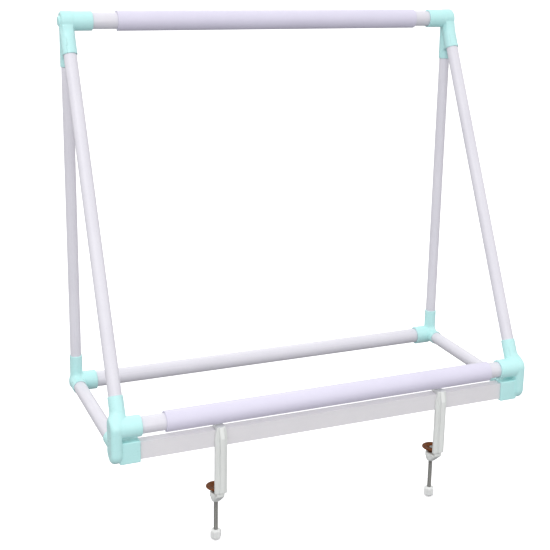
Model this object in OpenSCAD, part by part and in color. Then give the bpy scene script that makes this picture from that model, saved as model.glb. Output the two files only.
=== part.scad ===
// Table-top needlework frame: a tube stand with two fabric rails and two table clamps.
// Millimetres. +X is the user's right, +Y is away from the user, +Z is up.
// The origin is the middle of the stand's footprint, level with the undersides of the open
// clamps' knobs, which are its lowest points. The table top's plane is base_z - 12.5 above it.

/* [Stand] */
// Distance between the two rear posts, axis to axis
post_spacing = 500; // [420:5:700]
// Height of the top rail's axis above the base tubes' axis
rail_height = 440; // [380:5:600]
// Distance from the rear posts to the foot of the leg line
leg_run = 222; // [200:2:300]
// Height of the front rail's axis above the base tubes' axis
front_rail_rise = 27; // [26.5:0.5:34]

/* [Tubes] */
// Outside diameter of the top, front and rear tubes
rail_d = 19; // [17:0.5:20]
// Outside diameter of the rear posts
post_d = 13; // [11:0.5:14]
// Outside diameter of the front legs
leg_d = 14.8; // [12:0.2:15.2]
// Outside diameter of the side tubes
side_d = 15.6; // [12:0.2:16]
// Wall thickness of the round tubes
tube_wall = 1.4; // [1:0.1:2]
// Height of the flat front bar
bar_h = 20; // [16:1:20]
// Depth of the flat front bar
bar_t = 12; // [8:1:13]
// Wall thickness of the flat front bar
bar_wall = 1.5; // [1:0.1:2.5]

/* [Sockets] */
// Wall of the sockets that hold the rails
rail_socket_wall = 2.3; // [2:0.1:3]
// Wall of the sockets that hold posts, legs and side tubes
small_socket_wall = 1; // [0.8:0.1:1.4]
// Radial clearance of a tube in its socket
socket_gap = 0.05; // [0.02:0.01:0.1]

/* [Fabric clips] */
// Wall of the snap-on fabric clips
clip_wall = 2.2; // [1.6:0.1:2.4]
// Angle of the clip's open side
clip_opening = 100; // [80:5:130]
// Length of the top fabric clip
top_clip_len = 391; // [300:1:396]
// Length of the front fabric clip
front_clip_len = 412; // [300:2:416]

/* [Table clamps] */
// Distance of the left clamp from the middle of the bar
clamp_x_left = 138; // [60:1:180]
// Distance of the right clamp from the middle of the bar
clamp_x_right = 143; // [60:1:180]
// Free opening between the bar's underside and the open pad
clamp_opening = 55; // [45:1:70]
// Length of screw showing below the clamp when it is open
screw_travel = 36; // [20:1:40]
// Diameter of the pressure pad
pad_d = 23; // [16:0.5:24]

/* [Hidden] */
$fn = 72;

// tube radii, and outside radii of their sockets
rail_r = rail_d / 2;
post_r = post_d / 2;
leg_r = leg_d / 2;
side_r = side_d / 2;
rail_socket_r = rail_r + rail_socket_wall;
post_socket_r = post_r + small_socket_wall;
leg_socket_r = leg_r + small_socket_wall;
side_socket_r = side_r + small_socket_wall;

// clamp sizes that also place the stand
jaw_gap = 0.2;       // between clamp and bar
flange_t = 4;
rib_d = 5;           // how far the rib stands out from the flange
pad_h = 7;
pad_gap = 0.5;       // between the open pad and the boss
boss_h = 11.5;
knob_h = 12;

// axes of the frame
half_width = post_spacing / 2;
left_x = -half_width;
front_run = leg_run * (1 - front_rail_rise / rail_height);  // rear posts to front rail
base_z = bar_h / 2 + clamp_opening + pad_h + pad_gap + boss_h + screw_travel + knob_h;
rear_y = (front_run + bar_t / 2 + jaw_gap + flange_t + rib_d - rail_socket_r) / 2;
front_y = rear_y - front_run;
top_z = base_z + rail_height;
front_z = base_z + front_rail_rise;     // front rail
leg_angle = atan(leg_run / rail_height);

bar_front = front_y - bar_t / 2;
bar_bottom = base_z - bar_h / 2;
bar_top = base_z + bar_h / 2;

// closed ends of the sockets' bores; each tube stops end_gap short of them
end_gap = 0.5;
rail_end = half_width - 10;
post_bottom = base_z + 14;
post_top = top_z - 31;
side_front = front_y + 17;
side_rear = rear_y - 9;
// distances down the leg line from the top rail's axis
leg_start = 20;
leg_hub = (top_z - front_z) / cos(leg_angle);   // where the front rail's axis crosses
leg_end = leg_hub - 13;

tube_colour = [0.92, 0.91, 0.94];
clip_colour = [0.87, 0.86, 0.93];
mint = [0.70, 0.95, 0.92];
white = [0.93, 0.94, 0.93];
nut_grey = [0.7, 0.7, 0.7];
screw_grey = [0.55, 0.55, 0.55];
brown = [0.5, 0.3, 0.14];

// ---- helpers ----

// solid rods along X, Y and Z, from the lower to the higher coordinate
module rod_x(x0, x1, r, y, z) {
    translate([x0, y, z]) rotate([0, 90, 0]) cylinder(h = x1 - x0, r = r);
}
module rod_y(y0, y1, r, x, z) {
    translate([x, y1, z]) rotate([90, 0, 0]) cylinder(h = y1 - y0, r = r);
}
module rod_z(z0, z1, r, x, y) {
    translate([x, y, z0]) cylinder(h = z1 - z0, r = r);
}

// solid rod on the left leg's line, between two distances down from the top rail's axis
module rod_leg(start, end, r) {
    translate([left_x, rear_y, top_z]) rotate([-leg_angle, 0, 0])
        translate([0, 0, -end]) cylinder(h = end - start, r = r);
}

// extrudes a side-view outline, drawn in Y and Z, along X from x0
module extrude_x(x0, width) {
    translate([x0, 0, 0]) rotate([90, 0, 90]) linear_extrude(width) children();
}

// rounded closed end of a socket, turned about X, facing -X from x0
module dome_x(x0, depth, r, edge, y, z) {
    round_edge = [for (k = [1 : 8])
        [r - edge + edge * cos(k * 90 / 8), depth - edge + edge * sin(k * 90 / 8)]];
    translate([x0, y, z]) rotate([0, -90, 0]) rotate_extrude()
        polygon(concat([[0, 0], [r, 0], [r, depth - edge]], round_edge, [[0, depth]]));
}

// ---- tubes ----

module rail_shape(y, z) difference() {
    rod_x(-rail_end + end_gap, rail_end - end_gap, rail_r, y, z);
    rod_x(-rail_end, rail_end, rail_r - tube_wall, y, z);
}
module top_rail() color(tube_colour) rail_shape(rear_y, top_z);
module front_rail() color(tube_colour) rail_shape(front_y, front_z);
module rear_base_tube() color(tube_colour) rail_shape(rear_y, base_z);

module post_shape(x) difference() {
    rod_z(post_bottom + end_gap, post_top - end_gap, post_r, x, rear_y);
    rod_z(post_bottom, post_top, post_r - tube_wall, x, rear_y);
}
module rear_post_left() color(tube_colour) post_shape(left_x);
module rear_post_right() color(tube_colour) post_shape(half_width);

module leg_shape() difference() {
    rod_leg(leg_start + end_gap, leg_end - end_gap, leg_r);
    rod_leg(leg_start, leg_end, leg_r - tube_wall);
}
module front_leg_left() color(tube_colour) leg_shape();
module front_leg_right() color(tube_colour) mirror([1, 0, 0]) leg_shape();

module side_shape(x) difference() {
    rod_y(side_front + end_gap, side_rear - end_gap, side_r, x, base_z);
    rod_y(side_front, side_rear, side_r - tube_wall, x, base_z);
}
module side_tube_left() color(tube_colour) side_shape(left_x);
module side_tube_right() color(tube_colour) side_shape(half_width);

module front_bar() color(tube_colour) difference() {
    translate([-rail_end + end_gap, bar_front, bar_bottom])
        cube([2 * (rail_end - end_gap), bar_t, bar_h]);
    translate([-rail_end, bar_front + bar_wall, bar_bottom + bar_wall])
        cube([2 * rail_end, bar_t - 2 * bar_wall, bar_h - 2 * bar_wall]);
}

// ---- connectors, drawn for the left side ----

// how far the bores' cutters reach, well past the sockets' mouths
short_cut = 40;
long_cut = 60;
module rail_bore(y, z) rod_x(-rail_end, left_x + short_cut, rail_r + socket_gap, y, z);

// top connector: rail socket, post socket and leg socket meeting at one hub
top_cap_depth = 7;
top_leg_socket_len = 41;
top_post_socket_len = 52;
web_t = 13;
module top_connector() difference() {
    union() {
        rod_x(left_x, left_x + 29.5, rail_socket_r, rear_y, top_z);
        dome_x(left_x, depth = top_cap_depth, r = rail_socket_r, edge = 5, y = rear_y, z = top_z);
        // small button on the domed end, sunk 0.5 into it
        dome_x(left_x - top_cap_depth + 0.5, depth = 2.8, r = 5.5, edge = 1.2,
               y = rear_y, z = top_z);
        rod_z(top_z - top_post_socket_len, top_z, post_socket_r, left_x, rear_y);
        rod_leg(0, top_leg_socket_len, leg_socket_r);
        // web that joins the post socket and the leg socket
        extrude_x(left_x - web_t / 2, web_t) polygon([
            [rear_y, top_z],
            [rear_y - top_leg_socket_len * sin(leg_angle) * 0.98,
             top_z - top_leg_socket_len * cos(leg_angle) * 0.92],
            [rear_y - 12, top_z - 43],
            [rear_y, top_z - 46]]);
    }
    rail_bore(rear_y, top_z);
    rod_z(top_z - long_cut, post_top, post_r + socket_gap, left_x, rear_y);
    rod_leg(leg_start, long_cut, leg_r + socket_gap);
}
module top_connector_left() color(mint) top_connector();
module top_connector_right() color(mint) mirror([1, 0, 0]) top_connector();

// rear corner: base tube socket, post socket and side tube socket
module rear_corner() difference() {
    union() {
        rod_x(left_x + 4, left_x + 24, rail_socket_r, rear_y, base_z);
        rod_x(left_x, left_x + 5, side_socket_r, rear_y, base_z);
        dome_x(left_x, depth = 8, r = side_socket_r, edge = 6, y = rear_y, z = base_z);
        rod_z(base_z, base_z + 35, post_socket_r, left_x, rear_y);
        rod_y(rear_y - 20, rear_y, side_socket_r, left_x, base_z);
    }
    rail_bore(rear_y, base_z);
    rod_z(post_bottom, post_bottom + long_cut, post_r + socket_gap, left_x, rear_y);
    rod_y(rear_y - short_cut, side_rear, side_r + socket_gap, left_x, base_z);
}
module rear_corner_left() color(mint) rear_corner();
module rear_corner_right() color(mint) mirror([1, 0, 0]) rear_corner();

// front corner: a plate that joins sockets for the front rail, bar, leg and side tube
nose_r = 12.5;             // the plate's rounded front
plate_outer = 11.5;        // plate's faces, outward and inward of the post's axis
plate_inner = 1;
bar_socket_wall = 2.5;
bar_socket_len = 21;

// points on an arc in the side view; 0 degrees is +Y, 90 degrees is +Z
function arc(y, z, r, from, to, steps) = [for (k = [0 : steps])
    let (angle = from + (to - from) * k / steps) [y + r * cos(angle), z + r * sin(angle)]];

// side-view point up the leg line from the front rail's axis, and across it to the rear
function leg_point(up, across) = [
    front_y + across * cos(leg_angle) + up * sin(leg_angle),
    front_z - across * sin(leg_angle) + up * cos(leg_angle)];

module plate_outline() polygon(concat(
    arc(front_y, base_z, nose_r, from = 270, to = 185, steps = 14),
    arc(front_y, front_z, nose_r, from = 175, to = 180 - leg_angle, steps = 6),
    [leg_point(12, -leg_socket_r), leg_point(14, leg_socket_r)],
    // hollow curve from the leg socket to the side tube socket
    arc(front_y + 34, base_z + side_socket_r + 24, 22, from = 200, to = 262, steps = 10),
    [[front_y + 34, base_z],
     [front_y + 30, base_z - side_socket_r],
     [front_y + 14, base_z - nose_r + 0.6],
     [front_y + 4, base_z - nose_r]]));

module front_corner() difference() {
    union() {
        extrude_x(left_x - plate_outer, plate_outer + plate_inner) plate_outline();
        rod_x(left_x, left_x + 23, rail_socket_r, front_y, front_z);
        translate([left_x, bar_front - bar_socket_wall, bar_bottom - bar_socket_wall])
            cube([bar_socket_len, bar_t + 2 * bar_socket_wall, bar_h + 2 * bar_socket_wall]);
        rod_leg(leg_hub - 34.8, leg_hub, leg_socket_r);
        rod_y(front_y, front_y + 39, side_socket_r, left_x, base_z);
    }
    rail_bore(front_y, front_z);
    translate([-rail_end, bar_front - socket_gap, bar_bottom - socket_gap])
        cube([short_cut, bar_t + 2 * socket_gap, bar_h + 2 * socket_gap]);
    rod_leg(leg_hub - long_cut, leg_end, leg_r + socket_gap);
    rod_y(side_front, front_y + long_cut, side_r + socket_gap, left_x, base_z);
}
module front_corner_left() color(mint) front_corner();
module front_corner_right() color(mint) mirror([1, 0, 0]) front_corner();

// ---- fabric clips ----

clip_gap = 0.08;          // radial clearance on the rail
clip_cut = 40;            // reach of the wedge that cuts the open side
top_clip_shift = 4;       // middle of the clip, right of the rail's middle
front_clip_shift = 6;

// C-shaped sleeve about an X axis; its open side faces the angle given, from +Y towards +Z
module clip_shape(length, shift, y, z, facing) {
    inner_r = rail_r + clip_gap;
    translate([0, y, z]) extrude_x(shift - length / 2, length) difference() {
        circle(r = inner_r + clip_wall);
        circle(r = inner_r);
        polygon([[0, 0], for (k = [-1, -0.5, 0, 0.5, 1])
            let (angle = facing + k * clip_opening / 2) clip_cut * [cos(angle), sin(angle)]]);
    }
}
module top_fabric_clip() color(clip_colour)
    clip_shape(top_clip_len, top_clip_shift, rear_y, top_z, facing = -30);
module front_fabric_clip() color(clip_colour)
    clip_shape(front_clip_len, front_clip_shift, front_y, front_z, facing = -42);

// ---- table clamps, drawn with the screw's axis at x = 0 ----

hook_w = 10;
hook_t = 4;
hook_lip = 2;              // how far the hook passes the bar's rear face
flange_w = 14;
rib_w = 5;
jaw_w = 9;
boss_r = 6.9;
boss_tip_r = 4.9;
boss_cone_h = 6.5;
screw_r = 2.5;
screw_grip = 7.5;          // length of screw inside the knob
neck_r = 1.7;
nut_h = 4;                 // depth of the nut's pocket
nut_r = 4.62;              // to the hexagon's corners
knob_core_r = 5;
knob_floor = 4;
lobe_r = 1.9;
lobe_offset = 4.5;
lobe_inset = 0.8;          // from the knob's top and bottom
dish_depth = 2;            // of the hollow in the pad's face
pad_shoulder = 4.4;        // depth where the pad's bore widens from neck to screw

screw_y = bar_front + 14;
pad_top = bar_bottom - clamp_opening;
boss_top = pad_top - pad_h - pad_gap;
boss_bottom = boss_top - boss_h;
spine_bottom = boss_top + 5.5;
knob_top = boss_bottom - screw_travel;
hook_top = bar_top + jaw_gap + hook_t;
taper_end = bar_top - 8;   // the spine has its full width and depth below this
flange_rear = bar_front - jaw_gap;
flange_front = flange_rear - flange_t;

module at_left_clamp() translate([-clamp_x_left, 0, 0]) children();
module at_right_clamp() translate([clamp_x_right, 0, 0]) children();

// clamp body: hook over the bar, ribbed spine in front of it, lower jaw with the screw's boss
module clamp_body_shape() difference() {
    union() {
        // hook on top of the bar
        translate([-hook_w / 2, flange_front, bar_top + jaw_gap])
            cube([hook_w, flange_t + jaw_gap + bar_t + hook_lip, hook_t]);
        // flange that widens from the hook down to the spine
        translate([0, flange_rear, 0]) rotate([90, 0, 0]) linear_extrude(flange_t)
            polygon([[-hook_w / 2, hook_top], [-flange_w / 2, taper_end],
                     [-flange_w / 2, spine_bottom], [flange_w / 2, spine_bottom],
                     [flange_w / 2, taper_end], [hook_w / 2, hook_top]]);
        // rib along the front of the spine
        extrude_x(-rib_w / 2, rib_w)
            polygon([[flange_rear - 1, hook_top], [flange_front - 1, hook_top],
                     [flange_front - rib_d, taper_end],
                     [flange_front - rib_d, spine_bottom + 3],
                     [flange_front, spine_bottom], [flange_rear - 1, spine_bottom]]);
        // slanted lower jaw
        extrude_x(-jaw_w / 2, jaw_w)
            polygon([[flange_front + 0.5, spine_bottom + 4],
                     [flange_rear - 0.5, spine_bottom + 4],
                     [flange_rear - 0.5, boss_top], [screw_y, boss_top],
                     [screw_y, boss_bottom + 1], [screw_y - 5, boss_bottom + 1.5],
                     [flange_front + 0.5, boss_top + 1]]);
        translate([0, screw_y, boss_bottom])
            cylinder(h = boss_cone_h, r1 = boss_tip_r, r2 = boss_r);
        rod_z(boss_bottom + boss_cone_h, boss_top, boss_r, 0, screw_y);
    }
    rod_z(boss_bottom - 1, boss_top + 1, screw_r + 0.3, 0, screw_y);
    translate([0, screw_y, boss_top - nut_h]) cylinder(h = nut_h + 1, r = nut_r + 0.04, $fn = 6);
}
module clamp_body_left() color(white) at_left_clamp() clamp_body_shape();
module clamp_body_right() color(white) at_right_clamp() clamp_body_shape();

// captive hexagon nut in the boss
module clamp_nut_shape() translate([0, screw_y, boss_top - nut_h]) difference() {
    cylinder(h = nut_h - 0.1, r = nut_r, $fn = 6);
    translate([0, 0, -1]) cylinder(h = nut_h + 2, r = screw_r + 0.05);
}
module clamp_nut_left() color(nut_grey) at_left_clamp() clamp_nut_shape();
module clamp_nut_right() color(nut_grey) at_right_clamp() clamp_nut_shape();

// screw with a turned-down neck and a peened end that keeps the pad on
module clamp_screw_shape() {
    shank_top = pad_top - pad_shoulder - 0.1;
    rod_z(knob_top - screw_grip, shank_top, screw_r, 0, screw_y);
    translate([0, screw_y, shank_top - 0.1]) cylinder(h = 3, r = neck_r);
    translate([0, screw_y, pad_top - dish_depth + 0.1]) cylinder(h = 1.6, r1 = 2.6, r2 = 1.8);
}
module clamp_screw_left() color(screw_grey) at_left_clamp() clamp_screw_shape();
module clamp_screw_right() color(screw_grey) at_right_clamp() clamp_screw_shape();

// lobed hand knob on the lower end of the screw
module clamp_knob_shape() translate([0, screw_y, knob_top - knob_h]) difference() {
    union() {
        cylinder(h = knob_h, r = knob_core_r);
        for (k = [0 : 5]) rotate([0, 0, k * 60]) translate([lobe_offset, 0, lobe_inset])
            cylinder(h = knob_h - 2 * lobe_inset, r = lobe_r);
    }
    translate([0, 0, knob_floor]) cylinder(h = knob_h, r = screw_r + 0.02);
}
module clamp_knob_left() color(white) at_left_clamp() clamp_knob_shape();
module clamp_knob_right() color(white) at_right_clamp() clamp_knob_shape();

// cone-shaped pressure pad that stays still while the screw turns in it; its face is a rim
// round a shallow dish that holds the screw's peened end
module clamp_pad_shape() {
    neck_bore_r = neck_r + 0.05;
    screw_bore_r = screw_r + 0.1;
    // radius, height from the pad's face
    translate([0, screw_y, pad_top]) rotate_extrude()
        polygon([[neck_bore_r, -dish_depth], [3.4, -dish_depth], [8, 0], [pad_d / 2, 0],
                 [pad_d / 2, -1.2], [4.2, -pad_h + 0.4], [4.2, -pad_h], [screw_bore_r, -pad_h],
                 [screw_bore_r, -pad_shoulder], [neck_bore_r, -pad_shoulder]]);
}
module clamp_pad_left() color(brown) at_left_clamp() clamp_pad_shape();
module clamp_pad_right() color(brown) at_right_clamp() clamp_pad_shape();

top_rail();
front_rail();
rear_base_tube();
rear_post_left();
rear_post_right();
front_leg_left();
front_leg_right();
side_tube_left();
side_tube_right();
front_bar();
top_connector_left();
top_connector_right();
rear_corner_left();
rear_corner_right();
front_corner_left();
front_corner_right();
top_fabric_clip();
front_fabric_clip();
clamp_body_left();
clamp_body_right();
clamp_nut_left();
clamp_nut_right();
clamp_screw_left();
clamp_screw_right();
clamp_knob_left();
clamp_knob_right();
clamp_pad_left();
clamp_pad_right();
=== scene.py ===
"""Tubular stand with a flat front bar, two fabric clips and two screw clamps.

X runs along the rails (left is -X), the front is -Y and Z is up. The posts stand upright at the
rear and the front legs lean forward from the top rail. Shapes are worked out in mm and built
in metres.
"""
import math

import bpy
import numpy as np
from mathutils import Matrix, Vector


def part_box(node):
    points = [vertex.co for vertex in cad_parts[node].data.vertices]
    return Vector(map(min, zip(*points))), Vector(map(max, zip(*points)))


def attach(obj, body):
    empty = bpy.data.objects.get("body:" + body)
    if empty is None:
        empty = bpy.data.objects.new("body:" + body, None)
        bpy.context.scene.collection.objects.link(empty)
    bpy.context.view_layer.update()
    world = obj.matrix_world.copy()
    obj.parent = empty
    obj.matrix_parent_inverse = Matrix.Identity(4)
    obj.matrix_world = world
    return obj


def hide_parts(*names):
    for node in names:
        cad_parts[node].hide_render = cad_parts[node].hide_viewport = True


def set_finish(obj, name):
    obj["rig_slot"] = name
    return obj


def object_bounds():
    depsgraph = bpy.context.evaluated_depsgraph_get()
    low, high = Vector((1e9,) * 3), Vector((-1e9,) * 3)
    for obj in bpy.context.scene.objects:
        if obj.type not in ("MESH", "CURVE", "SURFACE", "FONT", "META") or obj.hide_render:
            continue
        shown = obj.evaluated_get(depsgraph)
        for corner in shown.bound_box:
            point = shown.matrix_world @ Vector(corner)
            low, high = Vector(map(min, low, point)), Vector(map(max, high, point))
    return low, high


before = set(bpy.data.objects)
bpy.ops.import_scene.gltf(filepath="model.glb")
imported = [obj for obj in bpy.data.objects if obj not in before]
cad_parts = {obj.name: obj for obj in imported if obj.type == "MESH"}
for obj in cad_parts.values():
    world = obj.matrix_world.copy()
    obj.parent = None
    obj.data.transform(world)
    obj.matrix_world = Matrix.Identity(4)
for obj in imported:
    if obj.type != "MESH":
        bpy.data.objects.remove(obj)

CAD_LO, CAD_HI = [list(map(float, v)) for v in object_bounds()]
MM = 0.001

# ---------------------------------------------------------------- stand dimensions, mm
HALF_WIDTH = 250.0  # x of the posts, legs and side tubes
BASE_Z = 132.0  # axis of the side tubes and the rear base tube
TOP_RISE = 440.0  # top rail axis above the base axis
LEG_RUN = 222.0  # forward reach of a leg over the whole rise
FRONT_RISE = 27.0  # front rail axis above the base axis
MID_Y = 1.7  # halfway between the front and rear rails

FRONT_RUN = LEG_RUN * (1 - FRONT_RISE / TOP_RISE)
REAR_Y = (FRONT_RUN + 2 * MID_Y) / 2
FRONT_Y = REAR_Y - FRONT_RUN
TOP_Z = BASE_Z + TOP_RISE
FRONT_Z = BASE_Z + FRONT_RISE
LEAN = math.atan(LEG_RUN / TOP_RISE)
LEG_DIRECTION = np.array([0.0, -math.sin(LEAN), -math.cos(LEAN)])
LEG_LENGTH = (TOP_Z - FRONT_Z) / math.cos(LEAN)  # top rail axis to front rail axis

RAIL_RADIUS = 9.5
POST_RADIUS = 6.5
LEG_RADIUS = 7.4
SIDE_RADIUS = 7.8
TUBE_WALL = 1.4
FIT = 0.05  # play between a tube or the bar and its socket
END_GAP = 0.5  # play between a tube end and the bottom of its socket

# Socket bottoms, measured from the crossing of the tube axes
RAIL_SEAT_X = 240.0
POST_TOP_SEAT = 31.0
POST_BASE_SEAT = 14.0
LEG_TOP_SEAT = 20.0
LEG_FRONT_SEAT = 13.0
SIDE_FRONT_SEAT = 17.0
SIDE_REAR_SEAT = 9.0

RAIL_SOCKET_RADIUS = 11.8
POST_SOCKET_RADIUS = 7.5
LEG_SOCKET_RADIUS = 8.4
SIDE_SOCKET_RADIUS = 8.8

# Flat front bar and the levels of the clamps on it
BAR_DEPTH = 12.0
BAR_HEIGHT = 20.0
BAR_FRONT = FRONT_Y - BAR_DEPTH / 2
BAR_BOTTOM = BASE_Z - BAR_HEIGHT / 2
BAR_TOP = BASE_Z + BAR_HEIGHT / 2
SCREW_Y = BAR_FRONT + 14.0
PAD_TOP = BAR_BOTTOM - 55.0
BOSS_TOP = PAD_TOP - 7.5
BOSS_BOTTOM = BOSS_TOP - 11.5
SPINE_BOTTOM = BOSS_TOP + 5.5
KNOB_TOP = BOSS_BOTTOM - 36.0
NUT_POCKET_DEPTH = 4.0
CLAMP_X = {"left": -138.0, "right": 143.0}


def leg_point(distance, side=-1):
    """Point on a leg axis, measured down from the top rail; side is -1 left, 1 right."""
    return np.array([side * HALF_WIDTH, REAR_Y, TOP_Z]) + LEG_DIRECTION * distance


# ---------------------------------------------------------------- distance fields
# xyz is a list of three coordinate arrays. A field is negative inside its shape.
def slab(outline, offset, half_thickness, rounding):
    """A flat shape with the given 2D distance, thickened to both sides of offset = 0."""
    across = outline + rounding
    through = np.abs(offset) - half_thickness + rounding
    outside = np.hypot(np.maximum(across, 0), np.maximum(through, 0))
    return np.minimum(np.maximum(across, through), 0) + outside - rounding


def cylinder(xyz, start, end, radius, rounding=0.0, end_radius=None):
    """Capped cylinder with rounded edges, or a cone if end_radius is given."""
    start, end = np.array(start, float), np.array(end, float)
    length = np.linalg.norm(end - start)
    unit = (end - start) / length
    rel = [xyz[i] - start[i] for i in range(3)]
    along = rel[0] * unit[0] + rel[1] * unit[1] + rel[2] * unit[2]
    squared = sum((rel[i] - along * unit[i]) ** 2 for i in range(3))
    from_axis = np.sqrt(np.maximum(squared, 1e-9))
    if end_radius is not None:
        radius = radius + (end_radius - radius) * np.clip(along / length, 0, 1)
    return slab(from_axis - radius, along - length / 2, length / 2, rounding)


def box(xyz, low, high, rounding=0.0):
    centre = [(low[i] + high[i]) / 2 for i in range(3)]
    half = [(high[i] - low[i]) / 2 - rounding for i in range(3)]
    past = [np.abs(xyz[i] - centre[i]) - half[i] for i in range(3)]
    outside = np.sqrt(sum(np.maximum(axis, 0) ** 2 for axis in past))
    return outside + np.minimum(np.maximum(past[0], np.maximum(past[1], past[2])), 0) - rounding


def polygon(x, y, corners):
    """Signed 2D distance to a closed polygon."""
    corners = [np.array(corner, float) for corner in corners]
    squared = (x - corners[0][0]) ** 2 + (y - corners[0][1]) ** 2
    sign = np.ones_like(x)
    for i, here in enumerate(corners):
        before = corners[i - 1]
        edge = before - here
        dx, dy = x - here[0], y - here[1]
        t = np.clip((dx * edge[0] + dy * edge[1]) / (edge @ edge), 0, 1)
        squared = np.minimum(squared, (dx - edge[0] * t) ** 2 + (dy - edge[1] * t) ** 2)
        above, below = y >= here[1], y < before[1]
        beside = edge[0] * dy > edge[1] * dx
        crossed = (above & below & beside) | (~above & ~below & ~beside)
        sign = np.where(crossed, -sign, sign)
    return sign * np.sqrt(squared)


def join(a, b, fillet):
    """Union of two fields with a fillet between them."""
    h = np.clip(0.5 + 0.5 * (b - a) / fillet, 0, 1)
    return b * (1 - h) + a * h - fillet * h * (1 - h)


def cut(shape, tool, softness):
    """Shape with the tool taken out of it and the new edge softened."""
    return -join(-shape, tool, softness)


def bore(shape, *holes):
    for hole in holes:
        shape = cut(shape, hole, softness=0.35)
    return shape


# ---------------------------------------------------------------- meshes
def surface_net(shape, low, high, cell):
    """Points and quads of the surface shape = 0 inside the box, in mm."""
    axes = [np.arange(low[i] - 2 * cell, high[i] + 3 * cell, cell) for i in range(3)]
    values = shape(np.meshgrid(*axes, indexing="ij"))
    inside = values < 0
    sizes = values.shape
    cells = tuple(size - 1 for size in sizes)

    # Each cell's point is the mean of the crossings on its twelve edges
    total = np.zeros(cells + (3,))
    count = np.zeros(cells)
    for axis in range(3):
        side_a, side_b = [other for other in range(3) if other != axis]
        for da in (0, 1):
            for db in (0, 1):
                near = [slice(0, size) for size in cells]
                near[side_a] = slice(da, cells[side_a] + da)
                near[side_b] = slice(db, cells[side_b] + db)
                far = list(near)
                far[axis] = slice(1, sizes[axis])
                first, last = values[tuple(near)], values[tuple(far)]
                crossed = (first < 0) != (last < 0)
                total[..., axis] += np.where(
                    crossed, first / np.where(crossed, first - last, 1), 0)
                total[..., side_a] += crossed * da
                total[..., side_b] += crossed * db
                count += crossed
    used = count > 0
    index = -np.ones(cells, int)
    index[used] = np.arange(used.sum())
    origin = np.array([axis[0] for axis in axes])
    points = (np.argwhere(used) + total[used] / count[used][:, None]) * cell + origin

    # One quad round each grid edge that crosses the surface
    faces = []
    for axis in range(3):
        side_a, side_b = (axis + 1) % 3, (axis + 2) % 3
        near, far = [slice(None)] * 3, [slice(None)] * 3
        near[axis], far[axis] = slice(0, cells[axis]), slice(1, sizes[axis])
        first, last = inside[tuple(near)], inside[tuple(far)]
        for entering in (False, True):
            edges = np.argwhere((~first & last) if entering else (first & ~last))
            edges = edges[(edges[:, side_a] > 0) & (edges[:, side_b] > 0)]
            corners = []
            for da, db in ((1, 1), (0, 1), (0, 0), (1, 0)):
                corner = edges.copy()
                corner[:, side_a] -= da
                corner[:, side_b] -= db
                corners.append(index[corner[:, 0], corner[:, 1], corner[:, 2]])
            quads = np.stack(corners, 1)
            faces.append(quads[:, ::-1] if entering else quads)
    faces = np.concatenate(faces)
    faces = faces[(faces >= 0).all(1)]

    # Pull the points on to the surface along its gradient
    probe = 0.05
    least_slope = 0.2
    reach = cell * 0.5
    for _ in range(3):
        here = [points[:, 0], points[:, 1], points[:, 2]]
        distance = shape(here)
        gradient = np.stack([
            shape([here[i] + probe * (i == axis) for i in range(3)]) - distance
            for axis in range(3)
        ], 1) / probe
        slope = np.maximum((gradient * gradient).sum(1), least_slope)
        points = points - np.clip(distance / slope, -reach, reach)[:, None] * gradient
    return points, faces


def ring_faces(rings, sides, closed, flip=False):
    """Quads between successive rings of points; closed joins the last ring to the first."""
    faces = []
    for i in range(rings if closed else rings - 1):
        a, b = i * sides, (i + 1) % rings * sides
        for k in range(sides):
            l = (k + 1) % sides
            if flip:
                faces.append((a + k, b + k, b + l, a + l))
            else:
                faces.append((a + k, a + l, b + l, b + k))
    return faces


def circle_angles(sides):
    return [2 * math.pi * k / sides for k in range(sides)]


def box_mm(node):
    return [np.array(corner) * 1000 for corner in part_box(node)]


def add_mesh(name, points, faces):
    """Mesh object from points in metres."""
    mesh = bpy.data.meshes.new(name)
    mesh.from_pydata(points, [], faces)
    mesh.update()
    piece = bpy.data.objects.new(name, mesh)
    bpy.context.scene.collection.objects.link(piece)
    return piece


def add_piece(node, body, slot, material, points, faces):
    """Smooth piece, from points in mm, that stands in for a CAD node."""
    metres = (np.asarray(points, float) * MM).tolist()
    piece = add_mesh(node + "_piece", metres, [list(map(int, face)) for face in faces])
    piece.data.polygons.foreach_set("use_smooth", [True] * len(piece.data.polygons))
    piece.data.materials.append(material)
    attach(piece, body)
    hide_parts(node)
    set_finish(piece, slot)
    return piece


# ---------------------------------------------------------------- shader helpers
def set_inputs(tree, node, inputs):
    """Link each input that is given a socket, and set the others."""
    for name, value in inputs.items():
        if isinstance(value, bpy.types.NodeSocket):
            tree.links.new(value, node.inputs[name])
        else:
            node.inputs[name].default_value = value


def add_node(tree, kind, inputs, **settings):
    node = tree.nodes.new(kind)
    for name, value in settings.items():
        setattr(node, name, value)
    set_inputs(tree, node, inputs)
    return node


def new_material(name):
    """A node material, its tree and its Principled shader."""
    material = bpy.data.materials.new(name)
    material.use_nodes = True
    tree = material.node_tree
    return material, tree, tree.nodes["Principled BSDF"]


def object_coordinates(tree):
    return tree.nodes.new("ShaderNodeTexCoord").outputs["Object"]


def noise(tree, coords, scale, detail, roughness=0.55):
    """Noise whose scale is given per metre along x, y and z."""
    mapping = add_node(tree, "ShaderNodeMapping", {"Vector": coords, "Scale": scale})
    return add_node(tree, "ShaderNodeTexNoise", {
        "Vector": mapping.outputs["Vector"],
        "Scale": 1.0,
        "Detail": detail,
        "Roughness": roughness,
    }).outputs["Fac"]


def colour_ramp(tree, factor, *stops):
    """Ramp through (position, colour) stops, in rising order."""
    node = add_node(tree, "ShaderNodeValToRGB", {"Fac": factor})
    elements = node.color_ramp.elements
    for element, (position, colour) in zip(elements, (stops[0], stops[-1])):
        element.position = position
        element.color = (*colour, 1)
    for position, colour in stops[1:-1]:
        elements.new(position).color = (*colour, 1)
    return node.outputs["Color"]


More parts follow.
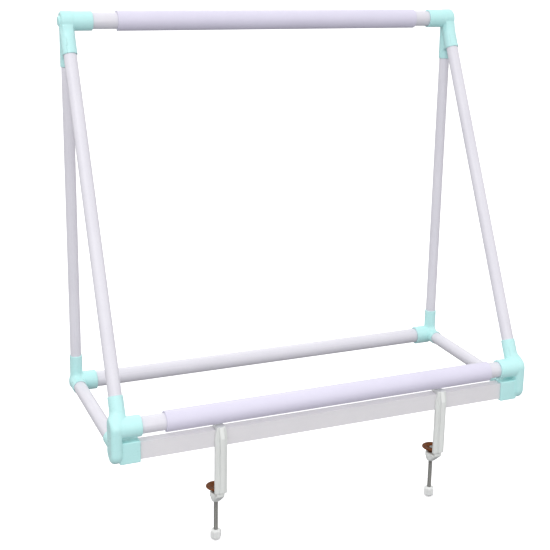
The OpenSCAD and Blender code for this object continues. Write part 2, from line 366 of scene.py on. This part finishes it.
def rub_edges(tree, colour, worn, start, end, amount):
    """Mix the worn colour in where pointiness rises from start to end."""
    pointiness = tree.nodes.new("ShaderNodeNewGeometry").outputs["Pointiness"]
    factor = colour_ramp(tree, pointiness, (start, (0, 0, 0)), (end, (amount,) * 3))
    mix = add_node(tree, "ShaderNodeMix", {"Factor": factor, "A": colour, "B": (*worn, 1)},
                   data_type="RGBA")
    return mix.outputs["Result"]


def bump(tree, height, strength, distance, **under):
    """Bump normal, laid over the Normal given in under, if any."""
    inputs = {"Height": height, "Strength": strength, "Distance": distance, **under}
    return add_node(tree, "ShaderNodeBump", inputs).outputs["Normal"]


# ---------------------------------------------------------------- materials
def plastic(name, base, dark, roughness, grain=900, grain_bump=0.05, streak=None, subsurface=0.0):
    """Plastic with tone drift, fine grain, scuffs and paler edges; streak adds drawn lines."""
    material, tree, shader = new_material(name)
    coords = object_coordinates(tree)

    drift = noise(tree, coords, scale=(22.0,) * 3, detail=3.0)
    mottle = noise(tree, coords, scale=(240.0,) * 3, detail=3.0)
    mottle_share = 0.35
    tone = add_node(tree, "ShaderNodeMath", {0: mottle, 1: mottle_share, 2: drift},
                    operation="MULTIPLY_ADD").outputs[0]
    colour = colour_ramp(tree, tone, (0.35, dark), (0.95, base))
    paler = (min(1, base[0] * 1.06 + 0.02), *(min(1, c * 1.02 + 0.01) for c in base[1:]))

    scuffs = noise(tree, coords, scale=streak or (60.0, 420.0, 420.0), detail=6.0)
    scuffed = add_node(tree, "ShaderNodeMapRange", {
        "Value": scuffs,
        "From Min": 0.3,
        "From Max": 0.75,
        "To Min": roughness - 0.06,
        "To Max": roughness + 0.14,
    })

    fine = noise(tree, coords, scale=(grain,) * 3, detail=2.0)
    normal = bump(tree, fine, strength=grain_bump, distance=0.0004)
    if streak is not None:
        lines = noise(tree, coords, scale=streak, detail=4.0)
        normal = bump(tree, lines, strength=grain_bump * 0.8, distance=0.0004, Normal=normal)

    set_inputs(tree, shader, {
        "Base Color": rub_edges(tree, colour, paler, start=0.53, end=0.62, amount=0.3),
        "Roughness": scuffed.outputs["Result"],
        "Normal": normal,
        "IOR": 1.46,
        "Coat Weight": 0.15,
        "Coat Roughness": 0.2,
    })
    if subsurface > 0:
        set_inputs(tree, shader, {
            "Subsurface Weight": subsurface,
            "Subsurface Radius": (1.0, 1.0, 1.0),
            "Subsurface Scale": 0.0015,
        })
    return material


def metal(name, base, dark, roughness, scale, metallic=1.0, specular=0.5, middle=None):
    """Metal mottled from dark to base, through middle if given, with brighter worn edges."""
    material, tree, shader = new_material(name)
    mottle = noise(tree, object_coordinates(tree), scale=scale, detail=6.0, roughness=0.5)
    between = [] if middle is None else [(0.5, middle)]
    colour = colour_ramp(tree, mottle, (0.32, dark), *between, (0.68, base))
    brighter = [min(1, c * 1.5) for c in base]
    mottled_roughness = add_node(tree, "ShaderNodeMapRange", {
        "Value": mottle,
        "To Min": roughness - 0.08,
        "To Max": roughness + 0.15,
    })
    set_inputs(tree, shader, {
        "Base Color": rub_edges(tree, colour, brighter, start=0.52, end=0.60, amount=0.6),
        "Metallic": metallic,
        "Specular IOR Level": specular,
        "Roughness": mottled_roughness.outputs["Result"],
        "Normal": bump(tree, mottle, strength=0.12, distance=0.0003),
    })
    return material


def tube_plastic(axis, streak):
    return plastic("tube_plastic_along_" + axis, base=(0.785, 0.769, 0.83),
                   dark=(0.735, 0.719, 0.785), roughness=0.30, streak=streak)


MATERIALS = {
    "rail_x": tube_plastic("x", streak=(3.0, 700.0, 700.0)),
    "tube_y": tube_plastic("y", streak=(700.0, 3.0, 700.0)),
    "tube_z": tube_plastic("z", streak=(700.0, 700.0, 3.0)),
    "bar": plastic("bar_plastic", base=(0.79, 0.785, 0.81), dark=(0.74, 0.735, 0.765),
                   roughness=0.34, streak=(3.0, 700.0, 700.0)),
    "connector": plastic("connector_plastic", base=(0.56, 0.90, 0.895), dark=(0.52, 0.86, 0.855),
                         roughness=0.30, grain=1400, grain_bump=0.06, subsurface=0.12),
    "clip": plastic("clip_plastic", base=(0.74, 0.71, 0.85), dark=(0.70, 0.67, 0.81),
                    roughness=0.33, streak=(3.0, 600.0, 600.0)),
    "clamp": plastic("clamp_plastic", base=(0.82, 0.84, 0.82), dark=(0.77, 0.79, 0.77),
                     roughness=0.33, grain=1600, grain_bump=0.08, subsurface=0.08),
    "knob": plastic("knob_plastic", base=(0.84, 0.85, 0.84), dark=(0.79, 0.80, 0.79),
                    roughness=0.30, grain=1600, grain_bump=0.08, subsurface=0.08),
    "steel": metal("screw_steel", base=(0.34, 0.34, 0.32), dark=(0.16, 0.155, 0.15),
                   roughness=0.34, scale=(900, 900, 2600)),
    "nut": metal("nut_steel", base=(0.60, 0.60, 0.58), dark=(0.40, 0.40, 0.39),
                 roughness=0.36, scale=(700, 700, 700)),
    "pad": metal("pad_brown_metal", base=(0.20, 0.060, 0.012), dark=(0.075, 0.026, 0.008),
                 roughness=0.5, scale=(300, 300, 300), metallic=0.2, specular=0.12,
                 middle=(0.14, 0.042, 0.010)),
}


# ---------------------------------------------------------------- tubes
def tube(node, start, end, radius, material):
    """Round hollow tube with chamfered ends."""
    sides = 96
    steps = 8  # lengths along each wall
    chamfer = 0.35
    start, end = np.array(start, float), np.array(end, float)
    length = np.linalg.norm(end - start)
    unit = (end - start) / length
    helper = np.array([0.0, 0, 1] if abs(unit[2]) < 0.9 else [1.0, 0, 0])
    across = np.cross(unit, helper)
    across /= np.linalg.norm(across)
    normal = np.cross(unit, across)
    inner = radius - TUBE_WALL

    # (distance along, radius): start face, outer wall, end face, then back along the inner wall
    profile = [
        (0, inner + chamfer), (0, radius - chamfer),
        (chamfer * 0.3, radius - chamfer * 0.3), (chamfer, radius),
        *((length * k / steps, radius) for k in range(1, steps)),
        (length - chamfer, radius), (length - chamfer * 0.3, radius - chamfer * 0.3),
        (length, radius - chamfer), (length, inner + chamfer), (length - chamfer, inner),
        *((length * k / steps, inner) for k in range(steps - 1, 0, -1)),
        (chamfer, inner),
    ]
    points = [
        start + unit * along + ring * (math.cos(angle) * across + math.sin(angle) * normal)
        for along, ring in profile
        for angle in circle_angles(sides)
    ]
    faces = ring_faces(len(profile), sides, closed=True)
    add_piece(node, "stand", "tube", material, points, faces)


def cross_rail(node, y, z):
    end_x = RAIL_SEAT_X - END_GAP
    tube(node, (-end_x, y, z), (end_x, y, z), RAIL_RADIUS, MATERIALS["rail_x"])


cross_rail("top_rail", REAR_Y, TOP_Z)
cross_rail("front_rail", FRONT_Y, FRONT_Z)
cross_rail("rear_base_tube", REAR_Y, BASE_Z)
for side, sign in (("left", -1), ("right", 1)):
    side_x = sign * HALF_WIDTH
    tube("rear_post_" + side,
         (side_x, REAR_Y, BASE_Z + (POST_BASE_SEAT + END_GAP)),
         (side_x, REAR_Y, TOP_Z - (POST_TOP_SEAT + END_GAP)),
         POST_RADIUS, MATERIALS["tube_z"])
    tube("front_leg_" + side,
         leg_point(LEG_TOP_SEAT + END_GAP, sign),
         leg_point(LEG_LENGTH - (LEG_FRONT_SEAT + END_GAP), sign),
         LEG_RADIUS, MATERIALS["tube_z"])
    tube("side_tube_" + side,
         (side_x, FRONT_Y + (SIDE_FRONT_SEAT + END_GAP), BASE_Z),
         (side_x, REAR_Y - (SIDE_REAR_SEAT + END_GAP), BASE_Z),
         SIDE_RADIUS, MATERIALS["tube_y"])


# ---------------------------------------------------------------- flat bar
def finish_bar():
    """Paint the CAD bar and round its edges."""
    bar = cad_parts["front_bar"]
    bar.data.materials.clear()
    bar.data.materials.append(MATERIALS["bar"])
    for polygon_face in bar.data.polygons:
        polygon_face.material_index = 0
    bar["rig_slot"] = "bar"
    bevel = bar.modifiers.new("edges", "BEVEL")
    bevel.width = 0.0011
    bevel.segments = 4
    bevel.limit_method = "ANGLE"
    bevel.angle_limit = math.radians(40)


finish_bar()


# ---------------------------------------------------------------- connectors, shaped on the left
def rail_bore(xyz, y, z):
    return cylinder(xyz, (-RAIL_SEAT_X, y, z), (-200, y, z), RAIL_RADIUS + FIT)


def top_connector(xyz):
    """Hub with post, leg and rail sockets, a web between post and leg, and an outer nub."""
    x, y, z = xyz
    leg_end = 41
    web_reach = 0.92  # part of the leg socket that the web follows
    hub = cylinder(xyz, (-257.0, REAR_Y, TOP_Z), (-241.6, REAR_Y, TOP_Z),
                   RAIL_SOCKET_RADIUS, rounding=3.4)
    post = cylinder(xyz, (-HALF_WIDTH, REAR_Y, TOP_Z + 2), (-HALF_WIDTH, REAR_Y, TOP_Z - 52),
                    POST_SOCKET_RADIUS, rounding=0.6)
    leg = cylinder(xyz, leg_point(0), leg_point(leg_end), LEG_SOCKET_RADIUS, rounding=0.6)
    web_outline = [  # (y, z)
        (REAR_Y + 1, TOP_Z - 2),
        (REAR_Y - 12, TOP_Z - 4),
        (REAR_Y - leg_end * math.sin(LEAN) * web_reach,
         TOP_Z - leg_end * math.cos(LEAN) * web_reach),
        (REAR_Y - 11, TOP_Z - 38),
        (REAR_Y - 5, TOP_Z - 42),
        (REAR_Y, TOP_Z - 44),
    ]
    web = slab(polygon(y, z, web_outline), x + HALF_WIDTH, half_thickness=6.2, rounding=1.4)
    rail = cylinder(xyz, (-248, REAR_Y, TOP_Z), (-220.5, REAR_Y, TOP_Z), 11.25, rounding=0.7)
    nub = cylinder(xyz, (-259.2, REAR_Y, TOP_Z), (-250, REAR_Y, TOP_Z), 5.5, rounding=1.1)
    shape = join(post, leg, fillet=1.2)
    shape = join(shape, web, fillet=1.6)
    shape = join(shape, hub, fillet=1.6)
    shape = join(shape, rail, fillet=0.5)
    shape = join(shape, nub, fillet=1.0)
    return bore(
        shape,
        rail_bore(xyz, REAR_Y, TOP_Z),
        cylinder(xyz, (-HALF_WIDTH, REAR_Y, TOP_Z - POST_TOP_SEAT),
                 (-HALF_WIDTH, REAR_Y, TOP_Z - 70), POST_RADIUS + FIT),
        cylinder(xyz, leg_point(LEG_TOP_SEAT), leg_point(70), LEG_RADIUS + FIT),
    )


def rear_corner(xyz):
    """Elbow of post and side sockets, with the rail socket on its inner side."""
    x, y, z = xyz
    corner = (-HALF_WIDTH, REAR_Y, BASE_Z)
    post = cylinder(xyz, corner, (-HALF_WIDTH, REAR_Y, BASE_Z + 35),
                    POST_SOCKET_RADIUS, rounding=0.6)
    side = cylinder(xyz, (-HALF_WIDTH, REAR_Y - 20, BASE_Z), (-HALF_WIDTH, REAR_Y + 1, BASE_Z),
                    SIDE_SOCKET_RADIUS, rounding=0.6)
    knee_radius = 8.75
    knee_inset = 0.4
    knee = np.sqrt((x + HALF_WIDTH - knee_inset) ** 2
                   + (y - REAR_Y) ** 2 + (z - BASE_Z) ** 2) - knee_radius
    neck = cylinder(xyz, corner, (-240, REAR_Y, BASE_Z), SIDE_SOCKET_RADIUS, rounding=0.6)
    rail = cylinder(xyz, (-246, REAR_Y, BASE_Z), (-226, REAR_Y, BASE_Z),
                    RAIL_SOCKET_RADIUS, rounding=0.9)
    shape = join(post, side, fillet=5.0)
    shape = join(shape, knee, fillet=3.0)
    shape = join(shape, neck, fillet=1.5)
    shape = join(shape, rail, fillet=0.7)
    return bore(
        shape,
        rail_bore(xyz, REAR_Y, BASE_Z),
        cylinder(xyz, (-HALF_WIDTH, REAR_Y, BASE_Z + POST_BASE_SEAT),
                 (-HALF_WIDTH, REAR_Y, BASE_Z + 90), POST_RADIUS + FIT),
        cylinder(xyz, (-HALF_WIDTH, REAR_Y - 60, BASE_Z),
                 (-HALF_WIDTH, REAR_Y - SIDE_REAR_SEAT, BASE_Z), SIDE_RADIUS + FIT),
    )


def front_corner(xyz):
    """Outer plate with leg and side sockets, a gusset, and sockets for the rail and the bar."""
    x, y, z = xyz
    plate_radius = 12.4
    height = np.clip((z - BASE_Z) / (FRONT_Z - BASE_Z), 0, 1)
    centre_z = BASE_Z + (FRONT_Z - BASE_Z) * height
    plate = slab(np.hypot(y - FRONT_Y, z - centre_z) - plate_radius, x + 255.25,
                 half_thickness=6.2, rounding=5.2)
    leg = cylinder(xyz, leg_point(LEG_LENGTH - 34.8), leg_point(LEG_LENGTH),
                   LEG_SOCKET_RADIUS, rounding=0.6)
    side = cylinder(xyz, (-HALF_WIDTH, FRONT_Y, BASE_Z), (-HALF_WIDTH, FRONT_Y + 39, BASE_Z),
                    SIDE_SOCKET_RADIUS, rounding=0.6)
    gusset_outline = [  # (y, z)
        (FRONT_Y + 4, FRONT_Z + 10), (FRONT_Y + 24, BASE_Z + 3), (FRONT_Y + 4, BASE_Z),
    ]
    gusset = slab(polygon(y, z, gusset_outline), x + 252, half_thickness=5.0, rounding=2.0)
    rail = cylinder(xyz, (-252, FRONT_Y, FRONT_Z), (-227, FRONT_Y, FRONT_Z),
                    RAIL_SOCKET_RADIUS, rounding=0.7)
    bar = box(xyz, (-252, FRONT_Y - 8.5, BASE_Z - 12.5), (-229, FRONT_Y + 8.5, BASE_Z + 12.5),
              rounding=1.2)
    shape = join(plate, leg, fillet=8.0)
    shape = join(shape, side, fillet=5.0)
    shape = join(shape, gusset, fillet=4.0)
    shape = join(shape, rail, fillet=0.8)
    shape = join(shape, bar, fillet=0.8)
    return bore(
        shape,
        rail_bore(xyz, FRONT_Y, FRONT_Z),
        box(xyz, (-240, BAR_FRONT - FIT, BAR_BOTTOM - FIT),
            (-200, BAR_FRONT + (BAR_DEPTH + FIT), BAR_TOP + FIT)),
        cylinder(xyz, leg_point(LEG_LENGTH - 80), leg_point(LEG_LENGTH - LEG_FRONT_SEAT),
                 LEG_RADIUS + FIT),
        cylinder(xyz, (-HALF_WIDTH, FRONT_Y + SIDE_FRONT_SEAT, BASE_Z),
                 (-HALF_WIDTH, FRONT_Y + 80, BASE_Z), SIDE_RADIUS + FIT),
    )


def connector_pair(name, shape, cell):
    """Left connector, kept inside its CAD box except on the inner side, and its mirror image."""
    low, high = box_mm(name + "_left")
    points, faces = surface_net(shape, low - 1, high + 1, cell)
    points[:, 0] = np.maximum(points[:, 0], low[0])
    points[:, 1:] = np.clip(points[:, 1:], low[1:], high[1:])
    material = MATERIALS["connector"]
    add_piece(name + "_left", "stand", "connector", material, points, faces)
    add_piece(name + "_right", "stand", "connector", material, points * (-1, 1, 1),
              faces[:, ::-1])


CONNECTOR_CELL = 0.6
connector_pair("top_connector", top_connector, CONNECTOR_CELL)
connector_pair("rear_corner", rear_corner, CONNECTOR_CELL)
connector_pair("front_corner", front_corner, CONNECTOR_CELL)


# ---------------------------------------------------------------- fabric clips
def corner_inset(distance, size):
    """Share of a round corner still cut away at a distance from the end: 1 to 0 over size."""
    return 1 - math.sqrt(max(0.0, 1 - (1 - min(distance, size) / size) ** 2))


def fabric_clip(node, body, y, z, opening):
    """C-shaped sleeve round a rail; opening is its direction in degrees from +Y towards +Z."""
    inner_radius, outer_radius = 9.58, 11.78
    half_opening = 50.0  # degrees
    corner_cut = 17.0  # degrees taken off each lip at the ends
    arc_steps, lip_steps = 84, 8
    inner_start = arc_steps + lip_steps
    ring_size = 2 * inner_start

    low, high = box_mm(node)
    left, right = low[0], high[0]
    end_steps = [0, 0.15, 0.4, 0.8, 1.4, 2.2, 3.2, 4.4, 5.6, 7.0, 9.0, 14.0]
    stations = [
        *(left + step for step in end_steps),
        *np.linspace(left + 24, right - 24, 25),
        *(right - step for step in end_steps[::-1]),
    ]
    points = []
    for x in stations:
        from_end = min(x - left, right - x)
        half = half_opening + corner_cut * corner_inset(from_end, 7.0)
        thinning = 0.45 * corner_inset(from_end, 0.5)
        first = math.radians(opening + half)
        last = math.radians(opening + 360 - half)
        outer = outer_radius - thinning
        inner = inner_radius + thinning * 0.6
        middle, half_wall = (outer + inner) / 2, (outer - inner) / 2
        arc = [first + (last - first) * k / arc_steps for k in range(arc_steps + 1)]
        lip = [math.pi * k / lip_steps for k in range(1, lip_steps)]
        ring = [  # (angle, radius)
            *((angle, outer) for angle in arc),
            *((last + math.sin(turn) * half_wall / middle, middle + math.cos(turn) * half_wall)
              for turn in lip),
            *((angle, inner) for angle in arc[::-1]),
            *((first - math.sin(turn) * half_wall / middle, middle - math.cos(turn) * half_wall)
              for turn in lip),
        ]
        points += [(x, y + r * math.cos(angle), z + r * math.sin(angle)) for angle, r in ring]
    faces = ring_faces(len(stations), ring_size, closed=False, flip=True)

    # End faces: a strip between the arcs, and one face in each rounded lip
    end_faces = []
    for k in range(arc_steps):
        inner_k = inner_start + arc_steps - k
        end_faces.append((k, k + 1, inner_k - 1, inner_k))
    end_faces.append(range(arc_steps, inner_start + 1))
    end_faces.append((*range(inner_start + arc_steps, ring_size), 0))
    last_ring = (len(stations) - 1) * ring_size
    faces += [list(face) for face in end_faces]
    faces += [[last_ring + k for k in face[::-1]] for face in end_faces]
    add_piece(node, body, "clip", MATERIALS["clip"], points, faces)


fabric_clip("top_fabric_clip", "top_clip", REAR_Y, TOP_Z, opening=-30)
fabric_clip("front_fabric_clip", "front_clip", FRONT_Y, FRONT_Z, opening=-42)


# ---------------------------------------------------------------- clamps, shaped about x = 0
def clamp_body(xyz):
    """Hook over the bar, ribbed spine in front of it, and a jaw with the screw boss."""
    x, y, z = xyz
    gap = 0.2  # between clamp and bar
    flange = 4.0
    rib_depth = 5.0
    face = BAR_FRONT - gap - flange
    back = BAR_FRONT - gap
    top = BAR_TOP + gap + 4.0
    shoulder = BAR_TOP - 8

    hook = box(xyz, (-5, face, BAR_TOP + gap), (5, BAR_FRONT + 14, top), rounding=0.6)
    spine_outline = [  # (x, z)
        (-5, top), (-7, shoulder), (-7, SPINE_BOTTOM), (7, SPINE_BOTTOM), (7, shoulder), (5, top),
    ]
    spine = slab(polygon(x, z, spine_outline), y - (face + flange / 2), flange / 2, rounding=0.4)
    rib_outline = [  # (y, z)
        (back - 1, top), (face - 1, top),
        (face - rib_depth, shoulder), (face - rib_depth, SPINE_BOTTOM + 3),
        (face, SPINE_BOTTOM), (back - 1, SPINE_BOTTOM),
    ]
    rib = slab(polygon(y, z, rib_outline), x, half_thickness=2.5, rounding=0.4)
    jaw_outline = [  # (y, z)
        (face + 0.5, SPINE_BOTTOM + 4), (back - 0.5, SPINE_BOTTOM + 4),
        (back - 0.5, BOSS_TOP), (SCREW_Y, BOSS_TOP),
        (SCREW_Y, BOSS_BOTTOM + 1), (SCREW_Y - 5, BOSS_BOTTOM + 1.5), (face + 0.5, BOSS_TOP + 1),
    ]
    jaw = slab(polygon(y, z, jaw_outline), x, half_thickness=4.5, rounding=1.0)
    boss_radius = 6.9
    boss_cone = cylinder(xyz, (0, SCREW_Y, BOSS_BOTTOM), (0, SCREW_Y, BOSS_BOTTOM + 8), 4.8,
                         rounding=1.0, end_radius=boss_radius)
    boss_rim = cylinder(xyz, (0, SCREW_Y, BOSS_BOTTOM + 6), (0, SCREW_Y, BOSS_TOP),
                        boss_radius, rounding=0.7)
    shape = join(np.minimum(hook, spine), rib, fillet=0.35)
    shape = join(shape, jaw, fillet=0.9)
    shape = join(shape, np.minimum(boss_cone, boss_rim), fillet=1.4)

    screw_hole = cylinder(xyz, (0, SCREW_Y, BOSS_BOTTOM - 5), (0, SCREW_Y, BOSS_TOP + 5), 2.8)
    shape = cut(shape, screw_hole, softness=0.3)
    pocket_radius = 4.66  # centre to corner
    hexagon = [
        (pocket_radius * math.cos(k * math.pi / 3),
         SCREW_Y + pocket_radius * math.sin(k * math.pi / 3))
        for k in range(6)
    ]
    pocket = slab(polygon(x, y, hexagon), z - (BOSS_TOP + 1), NUT_POCKET_DEPTH + 1, rounding=0.0)
    shape = cut(shape, pocket, softness=0.2)

    # Keep the space between hook and boss clear
    clear = box(xyz, (-20, back, BOSS_TOP + 0.02), (20, BAR_FRONT + 60, BAR_TOP + gap))
    return np.maximum(shape, -clear)


def clamp_knob(xyz):
    """Six-lobed knob with a blind hole above and a dimple below."""
    def upright(low, high, radius, x=0, y=SCREW_Y, rounding=0.0):
        return cylinder(xyz, (x, y, KNOB_TOP + low), (x, y, KNOB_TOP + high), radius, rounding)

    lobe_ring = 4.5
    shape = upright(-12, 0, 5.2, rounding=2.0)
    for k in range(6):
        lobe_x = lobe_ring * math.cos(k * math.pi / 3)
        lobe_y = SCREW_Y + lobe_ring * math.sin(k * math.pi / 3)
        lobe = upright(-11.1, -0.9, 1.85, lobe_x, lobe_y, rounding=1.6)
        shape = join(shape, lobe, fillet=0.7)
    shape = cut(shape, upright(-8, 4, 2.52), softness=0.2)
    return cut(shape, upright(-14, -11.2, 2.6, rounding=0.6), softness=0.5)


def screw_ring(radii, z):
    """Ring of points round the screw axis, one for each radius."""
    return [
        (radius * math.cos(angle), SCREW_Y + radius * math.sin(angle), z)
        for radius, angle in zip(radii, circle_angles(len(radii)))
    ]


def screw_mesh():
    """Threaded rod with a turned neck and a domed end in the pad."""
    pitch = 0.8
    sides = 28
    rings_per_turn = 6
    root, crest = 2.07, 2.5
    bottom, top = KNOB_TOP - 7.4, PAD_TOP - 4.6
    steps = int((top - bottom) / (pitch / rings_per_turn))
    points = []
    for i in range(steps + 1):
        z = bottom + (top - bottom) * i / steps
        limit = crest - 0.5 * max(0.0, 1 - (top - z) / 0.6)  # tapers the last turn
        radii = []
        for k in range(sides):
            phase = (z / pitch - k / sides) % 1.0
            ridge = 1 - abs(2 * phase - 1)
            rise = min(1.0, max(0.0, (ridge - 0.12) / 0.72))  # flat root and crest
            radii.append(min(root + (crest - root) * rise, limit))
        points += screw_ring(radii, z)
    tip = [  # (z, radius)
        (top + 0.05, 1.7), (PAD_TOP - 1.92, 1.7), (PAD_TOP - 1.9, 2.45), (PAD_TOP - 1.6, 2.55),
        (PAD_TOP - 1.0, 2.2), (PAD_TOP - 0.55, 1.6), (PAD_TOP - 0.35, 0.8),
    ]
    for z, radius in tip:
        points += screw_ring([radius] * sides, z)
    rings = steps + 1 + len(tip)
    faces = ring_faces(rings, sides, closed=False)
    faces.append(range(sides)[::-1])
    faces.append(range((rings - 1) * sides, rings * sides))
    return np.array(points), faces


PAD_PROFILE = [  # (radius, height from PAD_TOP): dish, flat rim, cone below, collar
    (1.76, -2.15), (1.9, -2.0), (3.3, -2.0), (3.9, -1.85), (5.2, -1.25), (5.6, -1.2),
    (5.9, -1.0), (7.6, -0.2), (8.3, 0.0), (10.7, 0.0), (11.2, -0.06), (11.48, -0.35),
    (11.5, -0.7), (11.4, -1.15), (11.05, -1.5), (8.2, -3.5), (5.6, -5.4), (4.5, -6.3),
    (4.2, -6.6), (4.2, -6.85), (4.05, -7.0), (2.75, -7.0), (2.62, -6.85), (2.6, -4.4),
    (1.76, -4.4),
]


def pad_mesh():
    sides = 72
    points = []
    for radius, height in PAD_PROFILE:
        points += screw_ring([radius] * sides, PAD_TOP + height)
    return np.array(points), ring_faces(len(PAD_PROFILE), sides, closed=True, flip=True)


def nut_mesh():
    """Hexagon nut with turned chamfers on both faces."""
    sides = 72
    corner = 4.62  # centre to corner
    bottom = BOSS_TOP - NUT_POCKET_DEPTH
    top = bottom + 3.9
    hexagon = [
        corner * math.cos(math.pi / 6) / math.cos(angle % (math.pi / 3) - math.pi / 6)
        for angle in circle_angles(sides)
    ]
    outside = [  # (z, radius it is turned down to)
        (bottom, corner - 0.35), (bottom + 0.45, corner), (top - 0.45, corner),
        (top, corner - 0.35),
    ]
    hole = [(top, 2.85), (top - 0.3, 2.56), (bottom + 0.3, 2.56), (bottom, 2.85)]  # (z, radius)
    points = []
    for z, turned in outside:
        points += screw_ring([min(radius, turned) for radius in hexagon], z)
    for z, radius in hole:
        points += screw_ring([radius] * sides, z)
    return np.array(points), ring_faces(len(outside) + len(hole), sides, closed=True)


def local_box(node):
    """CAD box of a left clamp node, moved to x = 0."""
    return [corner - np.array([CLAMP_X["left"], 0, 0]) for corner in box_mm(node)]


def clamp_body_mesh():
    low, high = local_box("clamp_body_left")
    points, faces = surface_net(clamp_body, low, high, cell=0.45)
    return np.clip(points, low, high), faces


CLAMP_PARTS = [  # node prefix, body suffix, slot, material, (points, faces), crisp edges
    ("clamp_body_", "_clamp", "clamp_plastic", "clamp", clamp_body_mesh(), False),
    ("clamp_knob_", "_screw", "knob_plastic", "knob",
     surface_net(clamp_knob, *local_box("clamp_knob_left"), cell=0.35), False),
    ("clamp_screw_", "_screw", "screw_steel", "steel", screw_mesh(), False),
    ("clamp_pad_", "_pad", "pad_metal", "pad", pad_mesh(), True),
    ("clamp_nut_", "_clamp", "nut_steel", "nut", nut_mesh(), True),
]
for side, clamp_x in CLAMP_X.items():
    for prefix, body, slot, material, (points, faces), crisp in CLAMP_PARTS:
        piece = add_piece(prefix + side, side + body, slot, MATERIALS[material],
                          points + np.array([clamp_x, 0, 0]), faces)
        if crisp:
            piece.modifiers.new("edges", "EDGE_SPLIT").split_angle = math.radians(40)


# ---------------------------------------------------------------- floor and world
def floor_material():
    """Near white to the camera, dimmer in the light it sends back to the stand."""
    material, tree, shader = new_material("floor_white")
    set_inputs(tree, shader, {
        "Base Color": (0.93, 0.93, 0.935, 1),
        "Roughness": 0.9,
        "Specular IOR Level": 0.1,
        "Emission Color": (1, 1, 1, 1),
        "Emission Strength": 0.38,
    })
    dim = add_node(tree, "ShaderNodeBsdfDiffuse", {"Color": (0.30, 0.30, 0.31, 1)})
    light_path = tree.nodes.new("ShaderNodeLightPath")
    mix = add_node(tree, "ShaderNodeMixShader", {
        "Fac": light_path.outputs["Is Camera Ray"],
        1: dim.outputs["BSDF"],
        2: shader.outputs["BSDF"],
    })
    set_inputs(tree, tree.nodes["Material Output"], {"Surface": mix.outputs["Shader"]})
    return material


def add_floor():
    steps = 24
    half_size = 40.0  # metres
    z = CAD_LO[2] - 0.001
    line = [-half_size + 2 * half_size * i / steps for i in range(steps + 1)]
    row = steps + 1
    corners = [i * row + j for i in range(steps) for j in range(steps)]
    faces = [(a, a + row, a + row + 1, a + 1) for a in corners]
    floor = add_mesh("floor", [(x, y, z) for x in line for y in line], faces)
    floor.data.materials.append(floor_material())


def add_world():
    """White surroundings, slightly brighter where the camera sees them directly."""
    world = bpy.data.worlds.new("studio")
    bpy.context.scene.world = world
    world.use_nodes = True
    tree = world.node_tree
    light_path = tree.nodes.new("ShaderNodeLightPath")
    strength = add_node(tree, "ShaderNodeMapRange", {
        "Value": light_path.outputs["Is Camera Ray"],
        "To Min": 1.0,
        "To Max": 1.05,
    })
    set_inputs(tree, tree.nodes["Background"], {
        "Color": (1.0, 1.0, 1.0, 1),
        "Strength": strength.outputs["Result"],
    })


add_floor()
add_world()
bpy.context.scene.view_settings.view_transform = "Standard"


# ---------------------------------------------------------------- lights and camera, metres
def area_light(name, location, target, size, power):
    light = bpy.data.lights.new(name, "AREA")
    light.shape = "RECTANGLE"
    light.size, light.size_y = size
    light.energy = power
    lamp = bpy.data.objects.new(name, light)
    lamp.location = location
    lamp.rotation_mode = "QUATERNION"
    aim = Vector(target) - Vector(location)
    lamp.rotation_quaternion = aim.to_track_quat("-Z", "Y")
    bpy.context.scene.collection.objects.link(lamp)


area_light("key", location=(-1.3, -1.2, 1.9), target=(0, 0, 0.32), size=(1.2, 1.2), power=9)
area_light("front", location=(-0.5, -2.1, 0.7), target=(0, 0, 0.28), size=(0.9, 0.9), power=6.5)
area_light("fill", location=(1.7, -1.3, 1.0), target=(0, 0, 0.32), size=(1.4, 1.4), power=0.6)
area_light("back", location=(0.3, 1.6, 1.6), target=(0, 0, 0.32), size=(1.4, 0.8), power=3.5)


def add_camera():
    """Camera in front, to the left and above, looking back, right and down."""
    yaw = math.radians(24.935)  # from +Y towards +X
    pitch = math.radians(14.896)  # downwards
    roll = math.radians(1.648)
    forward = Vector((math.sin(yaw) * math.cos(pitch), math.cos(yaw) * math.cos(pitch),
                      -math.sin(pitch)))
    level = Vector((math.cos(yaw), -math.sin(yaw), 0))
    upright = level.cross(forward)
    right = math.cos(roll) * level + math.sin(roll) * upright
    up = -math.sin(roll) * level + math.cos(roll) * upright
    pose = Matrix((right, up, -forward)).transposed().to_4x4()
    pose.translation = Vector((-0.52607, -1.30930 + REAR_Y * MM, 0.54973 + BASE_Z * MM))

    data = bpy.data.cameras.new("camera")
    camera = bpy.data.objects.new("camera", data)
    bpy.context.scene.collection.objects.link(camera)
    camera.matrix_world = pose
    data.sensor_width = 36.0
    data.lens = 74.146909
    data.shift_x = -0.09090909
    data.shift_y = -0.08181818
    data.clip_start = 0.01
    data.clip_end = 60.0
    bpy.context.scene.camera = camera


add_camera()

bpy.context.view_layer.update()
